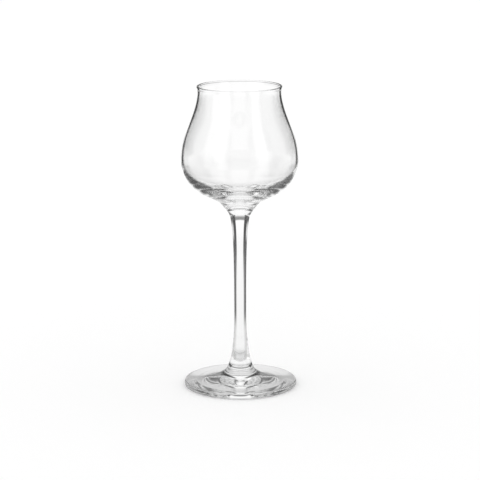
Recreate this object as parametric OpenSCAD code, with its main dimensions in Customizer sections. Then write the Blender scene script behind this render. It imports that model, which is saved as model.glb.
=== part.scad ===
// Cordial glass: a tulip-shaped bowl on a drawn stem and a round foot.
// Three pieces of clear glass, fused end to end. Millimetres, +Z up.
// The origin is the centre of the foot, on the table.

/* [Foot] */
// Diameter of the foot over its rounded edge
foot_d = 59.6; // [50:0.2:76]
// Height of the foot piece, from the table to its joint with the stem
foot_h = 17.8; // [12:0.2:28]
// Thickness of the foot where its edge begins to round over
foot_edge_t = 2.8; // [2:0.1:5]
// How far the rounded edge stands out past the flat ring under the foot
foot_edge_bulge = 0.9; // [0.5:0.1:2]
// Slope of the foot's upper side at the edge, in degrees
foot_edge_slope = 1; // [0:0.5:10]
// Rise of the upper side from the edge to the start of the boss
disc_rise = 1.7; // [0.4:0.1:4]
// Diameter of the boss where it starts to rise from the disc
boss_d = 37; // [26:0.2:46]
// Slope of the boss where it starts, in degrees
boss_slope = 17; // [10:1:35]
// Width of the flat ring that the foot stands on
ring_w = 6; // [2:0.5:14]
// Depth of the hollow inside that ring, at its middle
hollow_depth = 1.5; // [0.4:0.1:3]

/* [Stem] */
// Length of the stem between its two joints
stem_l = 77.4; // [40:0.2:110]
// Diameter of the stem at its waist
stem_d = 6.5; // [5:0.1:8]
// Height of the waist above the foot joint
waist_h = 20; // [8:0.5:30]

/* [Fused joints] */
// Diameter of the joint between the foot and the stem
foot_joint_d = 9.2; // [8:0.1:12]
// Flare of the outline at the foot joint, in degrees from the axis
foot_joint_flare = 10; // [4:1:20]
// Diameter of the joint between the stem and the bowl
bowl_joint_d = 15.5; // [11:0.1:20]
// Flare of the outline at the bowl joint, in degrees from the axis
bowl_joint_flare = 40; // [25:1:50]

/* [Bowl] */
// Height of the bowl, from its joint with the stem to the rim
bowl_h = 64.8; // [56:0.2:90]
// Outer diameter of the rim
rim_d = 44.4; // [38:0.1:52]
// Outer diameter of the neck, just under the rim
neck_d = 43.8; // [36:0.2:50]
// Depth of the neck below the rim
neck_drop = 2.2; // [1.6:0.1:6]
// Outer diameter of the belly, the widest part of the bowl
belly_d = 61.3; // [52:0.1:72]
// Depth of the belly below the rim
belly_drop = 38.6; // [26:0.2:42]
// Diameter where the underside turns from hollow to round
under_d = 39; // [26:0.2:44]
// Height of that turn above the bowl joint
under_h = 8.3; // [5:0.1:12]
// Angle of the underside at the turn, in degrees from the axis
under_flare = 63; // [50:1:70]

/* [Glass thickness] */
// Thickness of the wall at the rim and neck
wall_rim = 1.1; // [0.7:0.1:2]
// Thickness of the wall at the belly
wall_belly = 1; // [0.8:0.1:3]
// Thickness of the bowl's base, from its joint to the floor inside
base_t = 8.2; // [6:0.2:12]

/* [Hidden] */

// Clear, faintly grey glass
glass = [0.86, 0.89, 0.9, 0.5];
// Points on each curve, and facets drawn around each piece
curve_steps = 18;
round_steps = 160;

// The pieces stand on each other
stem_z = foot_h;
bowl_z = stem_z + stem_l;
rim_z = bowl_z + bowl_h;

// Directions in an outline, in degrees from +Z towards the outside
UP = 0;
OUT = 90;
DOWN = 180;
IN = 270;

// How long each curve holds to the directions at its start and its end,
// as shares of the straight distance between the two
boss_hold = [0.72, 0.46];
disc_hold = [0.35, 0.12];
taper_hold = [0.3, 0.3];
rod_hold = [0.92, 0.09];
under_hold = [0.45, 0.85];
side_hold = [0.08, 0.56];
shoulder_hold = [0.4, 0.36];
lip_hold = [0.4, 0.3];
rim_hold = [2 / 3, 2 / 3];
// The edge of the foot stands out by 3/4 of its hold, so this gives it its bulge
edge_hold = [1, 1] * 4 / 3 * foot_edge_bulge / foot_edge_t;
// For the floor inside the bowl, the shares are of its drop and of its radius
floor_hold = [0.72, 0.5];

// Points shared by the outlines, as [radius, height]
foot_joint = [foot_joint_d / 2, stem_z];
bowl_joint = [bowl_joint_d / 2, bowl_z];
waist = [stem_d / 2, stem_z + waist_h];
edge_foot = [foot_d / 2 - foot_edge_bulge, 0];
edge_top = edge_foot + [0, foot_edge_t];
boss_foot = [boss_d / 2, foot_edge_t + disc_rise];
hollow_edge = edge_foot - [ring_w, 0];
hollow_top = [0, hollow_depth];
under = [under_d / 2, bowl_z + under_h];
belly = [belly_d / 2, rim_z - belly_drop];
neck = [neck_d / 2, rim_z - neck_drop];
lip = [rim_d / 2, rim_z - wall_rim / 2];
lip_in = lip - [wall_rim, 0];
neck_in = neck - [wall_rim, 0];
belly_in = belly - [wall_belly, 0];
floor_in = [0, bowl_z + base_t];

// Unit vector of a direction
function way(angle) = [sin(angle), cos(angle)];

// The hold of a curve that runs the other way
function back(hold) = [hold.y, hold.x];

// The four control points of a curve from a to b, which leaves a along
// direction from and reaches b along direction to
function bend(a, from, b, to, hold) =
    [a, a + hold.x * norm(b - a) * way(from), b - hold.y * norm(b - a) * way(to), b];

// Quarter round from a, heading down, to b on the axis, heading in
function floor_round(a, b, hold) =
    [a, a - [0, hold.x * (a.y - b.y)], b + [hold.y * (a.x - b.x), 0], b];

// Shallow parabolic hollow from its edge a to its middle b
function dish(a, b) =
    [a, a + ([a.x / 2, b.y] - a) * 2 / 3, b + ([a.x / 2, b.y] - b) * 2 / 3, b];

// The point at share t of the way along a curve
function along(c, t) =
    (1 - t)^3 * c[0] + 3 * t * (1 - t)^2 * c[1] + 3 * t^2 * (1 - t) * c[2] + t^3 * c[3];

// The points of several curves that follow each other, without the last end
function trace(curves) =
    [for (c = curves) for (i = [0 : curve_steps - 1]) along(c, i / curve_steps)];

// A solid of revolution about the axis
module turned(outline) {
    rotate_extrude($fn = round_steps) polygon(outline);
}

// Blown bowl: a thin wall that closes in to the neck, over a thick base
module bowl() {
    outside = [
        bend(bowl_joint, bowl_joint_flare, under, under_flare, under_hold),
        bend(under, under_flare, belly, UP, side_hold),
        bend(belly, UP, neck, UP, shoulder_hold),
        bend(neck, UP, lip, UP, lip_hold)
    ];
    rim = bend(lip, UP, lip_in, DOWN, rim_hold);
    inside = [
        bend(lip_in, DOWN, neck_in, DOWN, back(lip_hold)),
        bend(neck_in, DOWN, belly_in, DOWN, back(shoulder_hold)),
        floor_round(belly_in, floor_in, floor_hold)
    ];
    color(glass)
        turned(concat(trace(concat(outside, [rim], inside)), [floor_in, [0, bowl_z]]));
}

// Drawn stem: a solid rod, slim at the waist, that flares to both joints
module stem() {
    side = [
        bend(foot_joint, -foot_joint_flare, waist, UP, taper_hold),
        bend(waist, UP, bowl_joint, bowl_joint_flare, rod_hold)
    ];
    color(glass)
        turned(concat([[0, stem_z]], trace(side), [bowl_joint, [0, bowl_z]]));
}

// Round foot: a disc with a rolled edge, and a boss that rises to the stem.
// It stands on the flat ring around the hollow underneath.
module foot() {
    upper = [
        bend(foot_joint, DOWN - foot_joint_flare, boss_foot, OUT + boss_slope, boss_hold),
        bend(boss_foot, OUT + boss_slope, edge_top, OUT + foot_edge_slope, disc_hold)
    ];
    edge = bend(edge_top, OUT + foot_edge_slope, edge_foot, IN, edge_hold);
    color(glass)
        turned(concat(
            [[0, stem_z]],
            trace(concat(upper, [edge])),
            [edge_foot],
            trace([dish(hollow_edge, hollow_top)]),
            [hollow_top]));
}

bowl();
stem();
foot();
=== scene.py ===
"""Clear crystal cordial glass, standing on a white light table inside a soft light tent.

The glass is three pieces, bowl, stem and foot, fused end to end while hot. Each is a surface of revolution:
its outline is drawn once, in millimetres of radius and height, and carried round the axis.
"""
import logging
import math
from dataclasses import dataclass, field
from enum import Enum

import bpy
import numpy as np
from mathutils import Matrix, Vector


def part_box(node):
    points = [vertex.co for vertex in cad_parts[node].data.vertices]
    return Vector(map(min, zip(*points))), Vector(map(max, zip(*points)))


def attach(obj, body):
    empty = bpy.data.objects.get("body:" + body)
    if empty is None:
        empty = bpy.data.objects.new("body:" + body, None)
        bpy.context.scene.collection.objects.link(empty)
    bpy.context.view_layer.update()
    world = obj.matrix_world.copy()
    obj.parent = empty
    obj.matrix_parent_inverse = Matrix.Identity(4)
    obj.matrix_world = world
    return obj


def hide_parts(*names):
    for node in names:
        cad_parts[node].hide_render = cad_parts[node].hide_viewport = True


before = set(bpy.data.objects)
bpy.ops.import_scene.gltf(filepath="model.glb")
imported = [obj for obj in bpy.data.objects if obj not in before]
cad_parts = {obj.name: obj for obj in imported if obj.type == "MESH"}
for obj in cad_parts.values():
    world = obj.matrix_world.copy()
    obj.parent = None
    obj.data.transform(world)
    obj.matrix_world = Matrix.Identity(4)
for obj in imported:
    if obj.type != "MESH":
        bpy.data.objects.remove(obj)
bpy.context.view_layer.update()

LOG = logging.getLogger("cordial_glass")

# One millimetre in the scene's metres
MM = 0.001
# The one body that every piece rides on
BODY = "root"

# Points closer together than this, in millimetres, are one point of an outline
SAME_POINT = 1e-6

Point = tuple[float, float]
Hold = tuple[float, float]
# Where a change begins and ends
Span = tuple[float, float]
# Where something begins, is full, ends and is gone
Stay = tuple[float, float, float, float]
Level = float | np.ndarray


def linear(hex_colour: str) -> tuple[float, float, float, float]:
    """Turn an sRGB hex colour into the linear values that shaders take.

    Args:
        hex_colour: Colour as "#RRGGBB".

    Returns:
        Linear red, green and blue, with full alpha.
    """
    parts = [int(hex_colour[i:i + 2], 16) / 255 for i in (1, 3, 5)]
    levels = [c / 12.92 if c <= 0.04045 else ((c + 0.055) / 1.055) ** 2.4 for c in parts]
    return (*levels, 1.0)


def smooth(share: np.ndarray) -> np.ndarray:
    """Ease from 0 to 1: t * t * (3 - 2t), with t held between 0 and 1."""
    t = np.clip(share, 0.0, 1.0)
    return t * t * (3 - 2 * t)


def step(value: np.ndarray, span: Span) -> np.ndarray:
    """Ease from 0 at the span's start to 1 at its end."""
    return smooth((value - span[0]) / (span[1] - span[0]))


def stay(value: np.ndarray, at: Stay) -> np.ndarray:
    """Rise from 0 to 1 between the first two places, and fall back between the last two."""
    return np.interp(value, at, (0.0, 1.0, 1.0, 0.0))


def mix(start: Level, end: Level, share: Level) -> Level:
    """Blend two levels, from the first at share 0 to the second at share 1."""
    return start + (end - start) * share


def add_node(tree: bpy.types.NodeTree, kind: str, inputs: dict | None = None, **settings) -> bpy.types.Node:
    """Add one shader node, with its settings, values and links.

    Args:
        tree: Tree that gets the node.
        kind: Blender's type name of the node.
        inputs: Value of each named or numbered input, or the output socket to link to it.
        settings: Properties of the node itself.

    Returns:
        The new node.
    """
    node = tree.nodes.new(kind)
    for name, value in settings.items():
        setattr(node, name, value)
    for key, value in (inputs or {}).items():
        if isinstance(value, bpy.types.NodeSocket):
            tree.links.new(value, node.inputs[key])
        else:
            node.inputs[key].default_value = value
    return node


def new_material(name: str) -> bpy.types.Material:
    """Make a material with an empty node tree."""
    material = bpy.data.materials.new(name)
    material.use_nodes = True
    material.node_tree.nodes.clear()
    return material


def add_object(name: str, data: bpy.types.ID) -> bpy.types.Object:
    """Put a mesh or a camera into the scene, as an object at the origin."""
    added = bpy.data.objects.new(name, data)
    bpy.context.scene.collection.objects.link(added)
    return added


def ring_faces(rings: int, columns: int) -> np.ndarray:
    """Four-sided faces between closed rings of points, which are numbered ring by ring.

    Args:
        rings: Number of rings.
        columns: Number of points in each ring.

    Returns:
        The numbers of each face's corners, one row for each face.
    """
    i, j = np.arange(rings - 1)[:, None] * columns, np.arange(columns)[None, :]
    after = (j + 1) % columns
    return np.stack([i + j, i + after, i + columns + after, i + columns + j], -1).reshape(-1, 4)


class Heading(Enum):
    """Directions of an outline, in degrees from straight up towards the outside."""

    UP = 0.0
    OUT = 90.0
    DOWN = 180.0
    IN = 270.0

    def turned(self, degrees: float) -> float:
        """This direction, turned on by some degrees."""
        return self.value + degrees


class Working(Enum):
    """How a piece of hot glass was worked, with the name of its finish."""

    BLOWN = "blown_crystal"
    DRAWN = "drawn_crystal"
    PRESSED = "pressed_crystal"


@dataclass(frozen=True)
class Curve:
    """One smooth stretch of an outline: a cubic curve with a handle at each end, in millimetres."""

    start: Point
    start_handle: Point
    end_handle: Point
    end: Point

    @classmethod
    def bend(cls, start: Point, leaving: float, end: Point, arriving: float, hold: Hold) -> "Curve":
        """Join two points by a curve that leaves and arrives along given directions.

        Args:
            start: First point.
            leaving: Direction at the first point, in degrees as in Heading.
            end: Last point.
            arriving: Direction at the last point.
            hold: How long the curve holds to each direction, as shares of the straight distance.

        Returns:
            The curve, whose handles lie along the two directions.
        """
        reach = math.dist(start, end)
        a, b = math.radians(leaving), math.radians(arriving)
        first = (start[0] + hold[0] * reach * math.sin(a), start[1] + hold[0] * reach * math.cos(a))
        last = (end[0] - hold[1] * reach * math.sin(b), end[1] - hold[1] * reach * math.cos(b))
        return cls(start, first, last, end)

    @classmethod
    def floor_round(cls, start: Point, end: Point, hold: Hold) -> "Curve":
        """Quarter round from a wall, heading down, to the axis, heading in.

        Args:
            start: Point on the wall.
            end: Point on the axis.
            hold: Lengths of the handles, as shares of the drop and of the radius.

        Returns:
            The curve.
        """
        drop, reach = start[1] - end[1], start[0] - end[0]
        return cls(start, (start[0], start[1] - hold[0] * drop), (end[0] + hold[1] * reach, end[1]), end)

    @classmethod
    def dish(cls, middle: Point, edge: Point) -> "Curve":
        """Shallow parabola from its middle on the axis out to its edge.

        Args:
            middle: Highest point of the hollow, on the axis.
            edge: Point where the hollow ends.

        Returns:
            The curve; a parabola's handles lie two thirds of the way to the meeting of its end tangents.
        """
        corner = (edge[0] / 2, middle[1])
        first = (corner[0] * 2 / 3, middle[1])
        last = (edge[0] + (corner[0] - edge[0]) * 2 / 3, edge[1] + (corner[1] - edge[1]) * 2 / 3)
        return cls(middle, first, last, edge)

    def reversed(self) -> "Curve":
        """The same curve, run the other way."""
        return Curve(self.end, self.end_handle, self.start_handle, self.start)

    def points(self, steps: int) -> np.ndarray:
        """Sample the curve, without its end.

        The point at share t is (1-t)^3 start + 3t(1-t)^2 first handle + 3t^2(1-t) last handle + t^3 end.

        Args:
            steps: Number of points.

        Returns:
            Array of radius and height, one row for each point.
        """
        t = np.linspace(0.0, 1.0, steps, endpoint=False)[:, None]
        weights = np.hstack([(1 - t) ** 3, 3 * t * (1 - t) ** 2, 3 * t * t * (1 - t), t ** 3])
        return weights @ np.array([self.start, self.start_handle, self.end_handle, self.end])


@dataclass(frozen=True)
class HandWork:
    """The slight unevenness of glass that was shaped by hand, in millimetres.

    The radius changes by a slow wave of two lobes round the axis, which turns with height, and near the
    foot's joint by three lobes more, which fade away above and below it over a bell-shaped share.
    """

    oval: float = 0.03
    oval_lobes: int = 2
    oval_turn_mm: float = 60.0
    swell: float = 0.05
    swell_lobes: int = 3
    # Turn of the swell round the axis, in radians
    swell_turn: float = 1.0
    joint_z: float = 18.0
    joint_spread: float = 4.0
    # Inside this radius the unevenness shrinks to nothing on the axis
    full_from_r: float = 3.0

    def change(self, radius: np.ndarray, angle: np.ndarray, height: np.ndarray) -> np.ndarray:
        """Change of radius at each place.

        Args:
            radius: Distances from the axis.
            angle: Angles round the axis, in radians.
            height: Heights above the table.

        Returns:
            Millimetres to add to the radius.
        """
        oval = self.oval * np.cos(self.oval_lobes * angle + height / self.oval_turn_mm)
        bell = np.exp(-(((height - self.joint_z) / self.joint_spread) ** 2))
        swell = self.swell * bell * np.cos(self.swell_lobes * angle + self.swell_turn)
        return (oval + swell) * np.minimum(radius / self.full_from_r, 1.0)


@dataclass(frozen=True)
class Lathe:
    """Carries an outline round the axis."""

    columns: int = 256
    steps: int = 24
    hand: HandWork = field(default_factory=HandWork)

    def trace(self, start: Point, curves: list[Curve], end: Point) -> np.ndarray:
        """Follow several curves from one point on the axis to another.

        Args:
            start: First point, on the axis.
            curves: Curves that follow each other.
            end: Last point, on the axis.

        Returns:
            Radius and height of every point of the outline, each point once.
        """
        runs = [np.array([start])] + [curve.points(self.steps) for curve in curves]
        joined = np.vstack(runs + [np.array([curves[-1].end, end])])
        apart = np.linalg.norm(np.diff(joined, axis=0), axis=1) > SAME_POINT
        return joined[np.append(True, apart)]

    def turn(self, name: str, outline: np.ndarray) -> bpy.types.Object:
        """Make the surface of revolution of an outline.

        The point at row i and angle a is ((r + u) cos a, (r + u) sin a, z), where u is the hand work's
        change of radius. The normals are the cross product of the surface's two slopes, so that light bends
        in the glass as it would at the true curve. The two ends on the axis are single points.

        Args:
            name: Name of the new object.
            outline: Radius and height from the lower end on the axis to the upper one, in millimetres.

        Returns:
            The new object, with the first and last row of faces at its two ends on the axis.
        """
        n = self.columns
        rings = outline[1:-1]
        rows = len(rings)
        angle = np.arange(n)[None, :] * 2 * np.pi / n
        radius, height = np.repeat(rings[:, :1], n, 1), np.repeat(rings[:, 1:], n, 1)
        radius = radius + self.hand.change(radius, angle, height)
        grid = np.stack([radius * np.cos(angle), radius * np.sin(angle), height], -1)

        run = np.append(0.0, np.cumsum(np.linalg.norm(np.diff(rings, axis=0), axis=1)))
        up_slope = np.gradient(grid, run, axis=0, edge_order=2)
        round_slope = np.roll(grid, -1, 1) - np.roll(grid, 1, 1)
        normals = np.cross(round_slope, up_slope).reshape(-1, 3)
        normals /= np.linalg.norm(normals, axis=1, keepdims=True)

        ends = np.array([[0.0, 0.0, outline[0, 1]], [0.0, 0.0, outline[-1, 1]]])
        down_up = np.array([[0.0, 0.0, -1.0], [0.0, 0.0, 1.0]])
        first, last, top_ring = rows * n, rows * n + 1, (rows - 1) * n
        here = np.arange(n)
        after = (here + 1) % n
        bottom = np.stack([np.full(n, first), after, here], -1)
        top = np.stack([np.full(n, last), top_ring + here, top_ring + after], -1)

        mesh = bpy.data.meshes.new(name)
        vertices = np.vstack([grid.reshape(-1, 3), ends]) * MM
        faces = bottom.tolist() + ring_faces(rows, n).tolist() + top.tolist()
        mesh.from_pydata(vertices.tolist(), [], faces)
        mesh.shade_smooth()
        mesh.normals_split_custom_set_from_vertices(np.vstack([normals, down_up]).tolist())
        return add_object(name, mesh)


@dataclass(frozen=True)
class Crystal:
    """Clear lead-free crystal glass, left as it cooled.

    It has no colour and sharp reflections, and its edges show only as thin dark lines, where they bend the
    light away. Hand work leaves a faint, slow ripple in it.
    """

    working: Working
    # Size of the ripple across, in millimetres, and how many times longer it is along the axis
    ripple_mm: float
    ripple_stretch: float = 1.0
    ripple_depth_mm: float = 0.004
    # White, because clear glass this thin takes hardly any light away
    tint: str = "#FFFFFF"
    ior: float = 1.52
    roughness: float = 0.0

    def material(self) -> bpy.types.Material:
        """Make the glass, with its ripple as a slow noise on Object coordinates."""
        material = new_material(self.working.value)
        tree = material.node_tree
        place = add_node(tree, "ShaderNodeTexCoord")
        across = 1 / (self.ripple_mm * MM)
        scale = (across, across, across / self.ripple_stretch)
        spread = add_node(tree, "ShaderNodeMapping", {"Vector": place.outputs["Object"], "Scale": scale})
        ripple = add_node(tree, "ShaderNodeTexNoise", {
            "Vector": spread.outputs["Vector"], "Scale": 1.0, "Detail": 1.0, "Roughness": 0.4})
        bump = add_node(tree, "ShaderNodeBump", {
            "Height": ripple.outputs["Fac"], "Distance": self.ripple_depth_mm * MM, "Strength": 1.0})
        glass = add_node(tree, "ShaderNodeBsdfPrincipled", {
            "Base Color": linear(self.tint), "Roughness": self.roughness, "IOR": self.ior,
            "Transmission Weight": 1.0, "Normal": bump.outputs["Normal"]})
        add_node(tree, "ShaderNodeOutputMaterial", {"Surface": glass.outputs["BSDF"]})
        return material


@dataclass(frozen=True)
class FusedSeam:
    """The place where two pieces melted into one: the same glass on both sides, so nothing shows there."""

    name: str = "fused_seam"

    def material(self) -> bpy.types.Material:
        """Make the seam, or give the one that another piece already has."""
        if self.name in bpy.data.materials:
            return bpy.data.materials[self.name]
        material = new_material(self.name)
        tree = material.node_tree
        clear = add_node(tree, "ShaderNodeBsdfPrincipled", {"Alpha": 0.0})
        add_node(tree, "ShaderNodeOutputMaterial", {"Surface": clear.outputs["BSDF"]})
        return material


@dataclass(frozen=True)
class Joint:
    """A fused joint between two pieces: its diameter, its height, and its flare from the axis in degrees."""

    d: float
    z: float
    flare: float

    @property
    def edge(self) -> Point:
        """Outer point of the joint."""
        return (self.d / 2, self.z)

    @property
    def middle(self) -> Point:
        """Point of the joint on the axis."""
        return (0.0, self.z)


@dataclass
class GlassPiece:
    """A piece of the glass that stands for a CAD node. Sizes are in millimetres."""

    node: str
    finish: Crystal
    fused_below: bool
    fused_above: bool

    def outline(self, lathe: Lathe) -> np.ndarray:
        """Outline from the lower end on the axis to the upper one; each kind of piece draws its own."""
        raise NotImplementedError

    def build(self, lathe: Lathe) -> bpy.types.Object:
        """Turn the piece.

        Args:
            lathe: Lathe that carries the outline round.

        Returns:
            The new object, which takes the place of its CAD node.
        """
        piece = lathe.turn(f"{self.node}_glass", self.outline(lathe))
        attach(piece, BODY)
        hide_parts(self.node)
        return piece

    def dress(self, piece: bpy.types.Object, lathe: Lathe) -> None:
        """Give the piece its glass, and clear seams where it is fused to the next one.

        Args:
            piece: Object to dress.
            lathe: Lathe that made it.
        """
        mesh = piece.data
        mesh.materials.append(self.finish.material())
        mesh.materials.append(FusedSeam().material())
        which = np.zeros(len(mesh.polygons), dtype=np.int32)
        which[:lathe.columns] = int(self.fused_below)
        which[-lathe.columns:] = int(self.fused_above)
        mesh.polygons.foreach_set("material_index", which)


@dataclass
class Bowl(GlassPiece):
    """Blown bowl: a thin wall that closes in to the neck, over a thick base."""

    joint: Joint
    rim_z: float
    belly_d: float
    rim_d: float = 44.4
    neck_d: float = 43.8
    neck_drop: float = 2.2
    belly_drop: float = 38.6
    under_d: float = 39.0
    under_h: float = 8.3
    under_flare: float = 63.0
    wall_rim: float = 1.1
    wall_belly: float = 1.0
    base_t: float = 8.2
    under_hold: Hold = (0.45, 0.85)
    side_hold: Hold = (0.08, 0.56)
    shoulder_hold: Hold = (0.4, 0.36)
    lip_hold: Hold = (0.4, 0.3)
    # A half circle drawn as one curve holds to its directions for two thirds of its width
    rim_hold: Hold = (2 / 3, 2 / 3)
    floor_hold: Hold = (0.72, 0.5)

    def outline(self, lathe: Lathe) -> np.ndarray:
        """Up the outside, over the rounded rim, and down the inside to the middle of the floor.

        Args:
            lathe: Lathe that samples the curves.

        Returns:
            Radius and height of the outline's points.
        """
        up, down = Heading.UP.value, Heading.DOWN.value
        under = (self.under_d / 2, self.joint.z + self.under_h)
        belly = (self.belly_d / 2, self.rim_z - self.belly_drop)
        neck = (self.neck_d / 2, self.rim_z - self.neck_drop)
        lip = (self.rim_d / 2, self.rim_z - self.wall_rim / 2)
        belly_in = (belly[0] - self.wall_belly, belly[1])
        neck_in = (neck[0] - self.wall_rim, neck[1])
        lip_in = (lip[0] - self.wall_rim, lip[1])
        floor_in = (0.0, self.joint.z + self.base_t)
        return lathe.trace(self.joint.middle, [
            Curve.bend(self.joint.edge, self.joint.flare, under, self.under_flare, self.under_hold),
            Curve.bend(under, self.under_flare, belly, up, self.side_hold),
            Curve.bend(belly, up, neck, up, self.shoulder_hold),
            Curve.bend(neck, up, lip, up, self.lip_hold),
            Curve.bend(lip, up, lip_in, down, self.rim_hold),
            Curve.bend(neck_in, up, lip_in, up, self.lip_hold).reversed(),
            Curve.bend(belly_in, up, neck_in, up, self.shoulder_hold).reversed(),
            Curve.floor_round(belly_in, floor_in, self.floor_hold),
        ], floor_in)


@dataclass
class Stem(GlassPiece):
    """Drawn stem: a solid rod, slim at the waist, that flares to both joints."""

    lower: Joint
    upper: Joint
    stem_d: float = 6.5
    waist_h: float = 20.0
    taper_hold: Hold = (0.3, 0.3)
    rod_hold: Hold = (0.92, 0.09)

    def outline(self, lathe: Lathe) -> np.ndarray:
        """From the foot's joint, in to the waist, and out again to the bowl's joint.

        Args:
            lathe: Lathe that samples the curves.

        Returns:
            Radius and height of the outline's points.
        """
        up = Heading.UP
        waist = (self.stem_d / 2, self.lower.z + self.waist_h)
        return lathe.trace(self.lower.middle, [
            Curve.bend(self.lower.edge, up.turned(-self.lower.flare), waist, up.value, self.taper_hold),
            Curve.bend(waist, up.value, self.upper.edge, self.upper.flare, self.rod_hold),
        ], self.upper.middle)


@dataclass
class Foot(GlassPiece):
    """Pressed foot: a disc with a rolled edge and a boss that rises to the stem.

    It stands on the flat ring around the hollow underneath.
    """

    joint: Joint
    foot_d: float
    edge_t: float = 2.8
    edge_bulge: float = 0.9
    edge_slope: float = 1.0
    disc_rise: float = 1.7
    boss_d: float = 37.0
    boss_slope: float = 17.0
    ring_w: float = 6.0
    hollow_depth: float = 1.5
    boss_hold: Hold = (0.72, 0.46)
    disc_hold: Hold = (0.35, 0.12)

    def outline(self, lathe: Lathe) -> np.ndarray:
        """Out along the hollow and the ring, round the edge, and in over the disc and up the boss.

        Args:
            lathe: Lathe that samples the curves.

        Returns:
            Radius and height of the outline's points.
        """
        out, down = Heading.OUT, Heading.DOWN
        edge_foot = (self.foot_d / 2 - self.edge_bulge, 0.0)
        edge_top = (edge_foot[0], self.edge_t)
        boss_foot = (self.boss_d / 2, self.edge_t + self.disc_rise)
        hollow_edge = (edge_foot[0] - self.ring_w, 0.0)
        hollow_top = (0.0, self.hollow_depth)
        edge_way, boss_way = out.turned(self.edge_slope), out.turned(self.boss_slope)
        joint_way = down.turned(-self.joint.flare)
        straight = (1 / 3, 1 / 3)
        # The edge stands out by three quarters of its hold, so this gives it its bulge
        edge_hold = (4 / 3 * self.edge_bulge / self.edge_t,) * 2
        return lathe.trace(hollow_top, [
            Curve.dish(hollow_top, hollow_edge),
            Curve.bend(hollow_edge, out.value, edge_foot, out.value, straight),
            Curve.bend(edge_top, edge_way, edge_foot, Heading.IN.value, edge_hold).reversed(),
            Curve.bend(boss_foot, boss_way, edge_top, edge_way, self.disc_hold).reversed(),
            Curve.bend(self.joint.edge, joint_way, boss_foot, boss_way, self.boss_hold).reversed(),
        ], self.joint.middle)


@dataclass
class LightTable:
    """White acrylic table, lit from below and from above, in metres and in display levels."""

    level: float = 1.01
    glow: float = 0.08
    tone: str = "#F3F3F3"
    half_side: float = 6.0
    # The glass stands this far above the table, as its ring touches at a few points only
    gap: float = 0.0001

    @property
    def lit_level(self) -> float:
        """The part of the table's level that the light from above gives."""
        return self.level - self.glow

    def material(self) -> bpy.types.Material:
        """White acrylic: matt and even, and it gives off a soft light of its own."""
        material = new_material("white_acrylic")
        tree = material.node_tree
        matt = add_node(tree, "ShaderNodeBsdfDiffuse", {"Color": linear(self.tone)})
        light = add_node(tree, "ShaderNodeEmission", {"Strength": self.glow})
        both = add_node(tree, "ShaderNodeAddShader", {0: matt.outputs["BSDF"], 1: light.outputs["Emission"]})
        add_node(tree, "ShaderNodeOutputMaterial", {"Surface": both.outputs["Shader"]})
        material.cycles.emission_sampling = "NONE"
        return material

    def build(self) -> bpy.types.Object:
        """Make the table's top, one square face.

        Returns:
            The new object.
        """
        s, z = self.half_side, -self.gap
        mesh = bpy.data.meshes.new("light_table")
        mesh.from_pydata([(-s, -s, z), (s, -s, z), (s, s, z), (-s, s, z)], [], [(0, 1, 2, 3)])
        mesh.materials.append(self.material())
        return add_object("light_table", mesh)


@dataclass
class Sky:
    """Soft light from all around, white at the horizon, with an even ceiling. Degrees and display levels."""

    table: LightTable
    horizon: float = 1.045
    # Elevations where the horizon ends and where it has become ceiling
    horizon_end: float = 12.0
    ceiling_from: float = 32.0
    # Number of elevations at which the light on the table is added up
    samples: int = 901

    def stops(self) -> tuple[np.ndarray, np.ndarray]:
        """Find the ceiling's level, at which the table gets the light that it should.

        A matt table of whiteness w under a sky of level L has the level w * 2 * integral of
        L sin e cos e over the elevation e, which is worked out for the low sky and for the ceiling.

        Returns:
            Elevations in degrees, and the level at each.
        """
        at = np.array([0.0, self.horizon_end, self.ceiling_from, 90.0])
        low = np.array([self.horizon, self.horizon, 0.0, 0.0])
        high = np.array([0.0, 0.0, 1.0, 1.0])
        e = np.linspace(0.0, 90.0, self.samples)
        share = np.sin(np.radians(2 * e)) * np.radians(e[1] - e[0])
        from_low, from_high = (np.sum(np.interp(e, at, level) * share) for level in (low, high))
        needed = self.table.lit_level / linear(self.table.tone)[0]
        return at, low + high * (needed - from_low) / from_high

    def level(self, elevation: np.ndarray) -> np.ndarray:
        """The sky's level at given elevations."""
        return np.interp(elevation, *self.stops())

    def build(self) -> bpy.types.World:
        """Make the world, as a ramp over the elevation.

        Returns:
            The new world, set in the scene.
        """
        at, level = self.stops()
        world = bpy.data.worlds.new("soft_sky")
        world.use_nodes = True
        tree = world.node_tree
        tree.nodes.clear()
        place = add_node(tree, "ShaderNodeTexCoord")
        parts = add_node(tree, "ShaderNodeSeparateXYZ", {"Vector": place.outputs["Generated"]})
        rise = add_node(tree, "ShaderNodeMath", {0: parts.outputs["Z"]}, operation="ARCSINE")
        share = add_node(tree, "ShaderNodeMath", {0: rise.outputs["Value"], 1: 2 / math.pi},
                         operation="MULTIPLY")
        ramp = add_node(tree, "ShaderNodeValToRGB", {"Fac": share.outputs["Value"]})
        stops = ramp.color_ramp.elements
        for _ in range(len(at) - len(stops)):
            stops.new(0.5)
        for stop, elevation, grey in zip(stops, at, level / level.max()):
            stop.position = elevation / 90
            stop.color = (grey, grey, grey, 1.0)
        light = add_node(tree, "ShaderNodeBackground", {
            "Color": ramp.outputs["Color"], "Strength": float(level.max())})
        add_node(tree, "ShaderNodeOutputWorld", {"Surface": light.outputs["Background"]})
        bpy.context.scene.world = world
        return world


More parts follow.
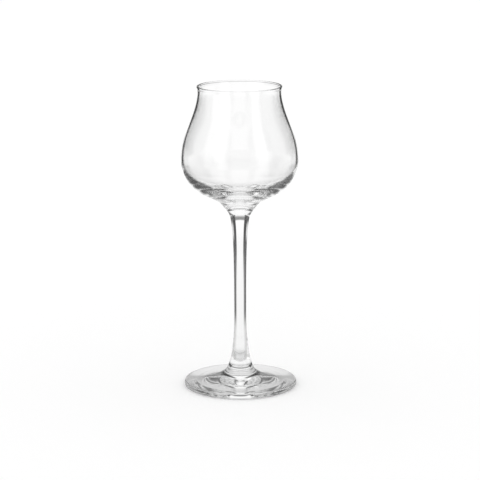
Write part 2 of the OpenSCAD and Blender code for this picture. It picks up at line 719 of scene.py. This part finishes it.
@dataclass(frozen=True)
class Window:
    """A bright opening between two dark cards, as seen from the glass. Degrees and display levels.

    It is fully bright up to the first angle on each side of its centre, and gone at the second. Right and
    left are as the camera on the other side of the glass sees them.
    """

    centre: float
    right: Span
    left: Span
    # Level of the cards beside it, and the angles over which they give way to those further round
    dark: float
    flank: Span
    # Level of a lit panel that hangs in it, and the heights in metres over which it gives way to the sky.
    # None leaves the window open.
    panel: float | None = None
    panel_top: Span = (0.3, 0.5)

    def off(self, angle: np.ndarray) -> np.ndarray:
        """Angles from the centre, positive to the right."""
        return (self.centre - angle + 180) % 360 - 180

    def share(self, angle: np.ndarray) -> np.ndarray:
        """How much of the window each angle has, from 0 to 1.

        Args:
            angle: Angles round the glass.

        Returns:
            An eased step down on each side of the centre.
        """
        off = self.off(angle)
        bright = np.where(off > 0, self.right[0], self.left[0])
        gone = np.where(off > 0, self.right[1], self.left[1])
        return smooth((gone - np.abs(off)) / (gone - bright))

    def card(self, angle: np.ndarray, side: Level) -> np.ndarray:
        """Level of the cards round this window: dark beside it, and of the given level further round."""
        return mix(self.dark, side, step(np.abs(self.off(angle)), self.flank))


@dataclass
class LightTent:
    """Cards round the glass, which only its reflections and refractions see, with bright windows.

    A photographer sets dark cards beside clear glass, so that its edges show as dark lines. The cards lie
    on the table and round the glass, and stand up as a wall at their outer edge. Under the foot the same
    sheet
    carries painted light and shade: a painted pool of light at the foot's heart, a painted shadow further
    out and a painted contact shadow at its front edge. Behind the glass, as the photo's camera sees it, is
    the main window, open to the sky. The others face the remaining sides, each with a lit panel. Metres and
    display levels.
    """

    sky: Sky
    table_windows: tuple[Window, ...] = (
        Window(315.0, right=(22.0, 36.0), left=(20.0, 37.0), dark=0.08, flank=(54.0, 75.0)),
        Window(135.0, right=(12.0, 22.0), left=(12.0, 22.0), dark=0.4, flank=(26.0, 36.0)),
        Window(90.0, right=(10.0, 20.0), left=(10.0, 20.0), dark=0.4, flank=(26.0, 36.0)),
        Window(180.0, right=(10.0, 20.0), left=(10.0, 20.0), dark=0.4, flank=(26.0, 36.0)),
    )
    wall_windows: tuple[Window, ...] = (
        Window(315.0, right=(18.0, 23.0), left=(17.0, 23.0), dark=0.04, flank=(36.0, 48.0)),
        Window(90.0, right=(22.0, 36.0), left=(20.0, 26.0), dark=0.3, flank=(30.0, 42.0), panel=1.1),
        Window(135.0, right=(12.0, 40.0), left=(12.0, 40.0), dark=0.3, flank=(30.0, 42.0), panel=0.45,
               panel_top=(0.45, 0.7)),
        Window(180.0, right=(5.0, 18.0), left=(5.0, 18.0), dark=0.3, flank=(30.0, 42.0), panel=0.95),
    )
    # Levels of the cards away from the windows: on the table, low on the wall and high on it
    side_table: float = 0.8
    side_low: float = 0.9
    side_high: float = 0.08
    side_rise: Span = (0.05, 0.15)
    # The table's own level in its windows, close to the glass and at the wall
    clear_near: float = 0.93
    clear_far: float = 0.99
    clear_fade: Span = (0.08, 0.45)
    # Over these distances the table's main window narrows to the wall's
    narrowing: Span = (0.2, 0.42)
    # Under the foot, painted light and shade: the level of a painted pool of light at its heart, where the
    # stem gathers light, the level of the painted shadow further out, and how far the painted pool reaches
    painted_light_pool: float = 0.97
    under: float = 0.67
    painted_light_pool_fade: Span = (0.005, 0.014)
    # Painted contact shadow round the foot's front edge: its level, its distances, and the angles from the
    # main window over which it begins
    painted_contact_shade: float = 0.3
    painted_shade_at: Stay = (0.025, 0.028, 0.034, 0.045)
    painted_shade_side: Span = (80.0, 120.0)
    # Level of the table close to the glass, outside the windows, and where the cards begin
    near: float = 0.68
    cards_from: Span = (0.08, 0.16)
    # A dim strip hangs across the open window: its level, and its elevations in degrees as seen from
    # the height of the eye
    strip: float = 0.25
    strip_at: Stay = (0.3, 1.2, 8.0, 32.0)
    eye_h: float = 0.1
    # Height of the wall, and where it fades into the sky
    wall_h: float = 1.0
    wall_top: Span = (0.55, 1.0)
    # Reach of the sheet under the foot, distance of the wall, and height of the cards on the table
    inner_r: float = 0.031
    outer_r: float = 0.5
    lift: float = 0.0002
    # Fineness of the cards: points round a ring, rings under the foot and over the table, rings up the wall
    columns: int = 1440
    rings: int = 20
    storeys: int = 40

    @staticmethod
    def cards(windows: tuple[Window, ...], angle: np.ndarray, side: Level) -> np.ndarray:
        """Level of the cards round the glass, the darkest that any window asks for."""
        return np.min([window.card(angle, side) for window in windows], axis=0)

    def lying(self, angle: np.ndarray, radius: np.ndarray) -> np.ndarray:
        """Light given off by the cards on the table, and the painted light and shade under the foot.

        Under the foot it is painted light and shade: a painted pool of light at the heart of the foot,
        easing to a painted shadow further out. From there the level eases to the near table's and then to
        the card's, with a painted contact shadow at the foot's front edge. In the windows it is the table's
        own.

        Args:
            angle: Angles round the glass, in degrees, as one row.
            radius: Distances from the axis, as one column.

        Returns:
            The level at each place.
        """
        main, main_above = self.table_windows[0], self.wall_windows[0]
        # Painted pool of light at the heart of the foot, easing to the painted shadow under the rest of it
        close = mix(self.painted_light_pool, self.under, step(radius, self.painted_light_pool_fade))
        close = mix(close, self.near, step(radius, self.painted_shade_at[1:3]))
        card = self.cards(self.table_windows, angle, self.side_table)
        level = mix(close, card, step(radius, self.cards_from))
        front = step(np.abs(main.off(angle)), self.painted_shade_side)
        # Painted contact shadow round the foot's front edge, on the side away from the main window
        level = mix(level, self.painted_contact_shade, stay(radius, self.painted_shade_at) * front)
        clear = mix(self.clear_near, self.clear_far, step(radius, self.clear_fade))
        beside = step(radius, self.painted_shade_at[2:])
        for window in self.table_windows:
            share = window.share(angle)
            if window is main:
                share = mix(share, main_above.share(angle), step(radius, self.narrowing))
            level = mix(level, clear, share * beside)
        return level

    def standing(self, angle: np.ndarray, height: np.ndarray) -> np.ndarray:
        """Light given off by the wall.

        Up the wall the level eases from the card's to the sky's. In the windows it is the panel's, with the
        sky above it, or the sky's with the dim strip across.

        Args:
            angle: Angles round the glass, in degrees, as one row.
            height: Heights above the table, as one column.

        Returns:
            The level at each place.
        """
        side = mix(self.side_low, self.side_high, step(height, self.side_rise))
        elevation = np.degrees(np.arctan2(np.maximum(height - self.eye_h, 0.0), self.outer_r))
        sky = self.sky.level(elevation)
        level = self.cards(self.wall_windows, angle, side)
        for window in self.wall_windows:
            if window.panel is None:
                inside = mix(sky, self.strip, stay(elevation, self.strip_at))
            else:
                inside = mix(window.panel, sky, step(height, window.panel_top))
            level = mix(level, inside, window.share(angle))
        return mix(level, sky, step(height, self.wall_top))

    def material(self) -> bpy.types.Material:
        """Matt studio card, and the painted light and shade under the foot: plain and even to the eye, it
        gives off the light stored with its points.
        """
        material = new_material("studio_card")
        tree = material.node_tree
        stored = add_node(tree, "ShaderNodeAttribute", attribute_name="level")
        light = add_node(tree, "ShaderNodeEmission", {"Strength": stored.outputs["Fac"]})
        add_node(tree, "ShaderNodeOutputMaterial", {"Surface": light.outputs["Emission"]})
        material.cycles.emission_sampling = "NONE"
        return material

    def build(self) -> bpy.types.Object:
        """Make the cards, with the painted light and shade under the foot, as one sheet.

        A grid over angle and ring: the point at angle a is (r cos a, r sin a, z). The rings run outwards
        under the foot, between glass and table, then over the table, and up the wall at its end.

        Returns:
            The new object, which the camera, shadows and matt surfaces don't see.
        """
        n = self.columns
        # Rings under the foot, which carry the painted light and shade
        under = np.linspace(0.0, self.inner_r, self.rings)[1:-1]
        flat = np.append(under, np.geomspace(self.inner_r, self.outer_r, self.rings))
        wall = np.linspace(0.0, self.wall_h, self.storeys + 1)[1:]
        radius = np.append(flat, np.full(len(wall), self.outer_r))[:, None]
        lying_at = np.where(flat < self.inner_r, -self.sky.table.gap / 2, self.lift)
        height = np.repeat(np.append(lying_at, wall)[:, None], n, 1)
        degrees = np.arange(n)[None, :] * 360 / n
        level = np.concatenate([self.lying(degrees, flat[:, None]), self.standing(degrees, wall[:, None])])
        a = np.radians(degrees)
        points = np.stack([radius * np.cos(a), radius * np.sin(a), height], -1).reshape(-1, 3)

        mesh = bpy.data.meshes.new("light_tent")
        mesh.from_pydata(points.tolist(), [], ring_faces(len(radius), n).tolist())
        stored = mesh.attributes.new("level", "FLOAT", "POINT")
        stored.data.foreach_set("value", level.reshape(-1).astype(np.float32))
        mesh.materials.append(self.material())
        tent = add_object("light_tent", mesh)
        tent.visible_camera = tent.visible_diffuse = tent.visible_shadow = False
        return tent


@dataclass
class PhotoCamera:
    """The photo's camera, worked out from the ellipses of the rim and the foot. Millimetres and degrees."""

    azimuth: float = 225.0
    distance: float = 1042.5
    height: float = 306.6
    tilt: float = 12.352
    roll: float = -0.22
    lens: float = 152.36
    sensor: float = 36.0

    def build(self) -> bpy.types.Object:
        """Make the camera and set it in the scene.

        Returns:
            The camera's object.
        """
        data = bpy.data.cameras.new("photo_camera")
        data.lens = self.lens
        data.sensor_width = self.sensor
        camera = add_object("photo_camera", data)
        a, d = math.radians(self.azimuth), self.distance * MM
        camera.location = (math.sin(a) * d, -math.cos(a) * d, self.height * MM)
        camera.rotation_euler = (math.radians(90 - self.tilt), 0.0, a)
        camera.rotation_euler.rotate_axis("Z", math.radians(self.roll))
        bpy.context.scene.camera = camera
        return camera


def set_light_paths(bounces: int = 48) -> None:
    """Let light cross all the glass it meets, and show levels as they are.

    Args:
        bounces: Most surfaces that a ray may meet.
    """
    scene = bpy.context.scene
    for name in ("max_bounces", "transmission_bounces", "glossy_bounces", "transparent_max_bounces"):
        setattr(scene.cycles, name, bounces)
    scene.cycles.use_denoising = True
    scene.view_settings.view_transform = "Standard"


def glass_pieces() -> list[GlassPiece]:
    """Work out the three pieces from the frame, from the table up.

    Returns:
        The foot, the stem and the bowl.
    """
    foot_lo, foot_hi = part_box("foot")
    stem_lo, stem_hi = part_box("stem")
    bowl_lo, bowl_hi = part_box("bowl")
    foot_joint = Joint(d=9.2, z=stem_lo.z / MM, flare=10.0)
    bowl_joint = Joint(d=(stem_hi.x - stem_lo.x) / MM, z=stem_hi.z / MM, flare=40.0)
    pressed = Crystal(Working.PRESSED, ripple_mm=9.0)
    drawn = Crystal(Working.DRAWN, ripple_mm=4.0, ripple_stretch=6.0)
    blown = Crystal(Working.BLOWN, ripple_mm=16.0)
    return [
        Foot("foot", pressed, fused_below=False, fused_above=True, joint=foot_joint,
             foot_d=(foot_hi.x - foot_lo.x) / MM),
        Stem("stem", drawn, fused_below=True, fused_above=True, lower=foot_joint, upper=bowl_joint),
        Bowl("bowl", blown, fused_below=True, fused_above=False, joint=bowl_joint,
             rim_z=bowl_hi.z / MM, belly_d=(bowl_hi.x - bowl_lo.x) / MM),
    ]


def main() -> None:
    """Set up the studio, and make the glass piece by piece."""
    logging.basicConfig(level=logging.INFO, format="%(name)s: %(message)s")
    set_light_paths()
    PhotoCamera().build()
    table = LightTable()
    sky = Sky(table)
    sky.build()
    table.build()
    LightTent(sky).build()
    lathe = Lathe()
    for part in glass_pieces():
        piece = part.build(lathe)
        part.dress(piece, lathe)
        LOG.info("%s: %d faces, %s", piece.name, len(piece.data.polygons), part.finish.working.value)
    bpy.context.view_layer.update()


if __name__ == "__main__":
    main()
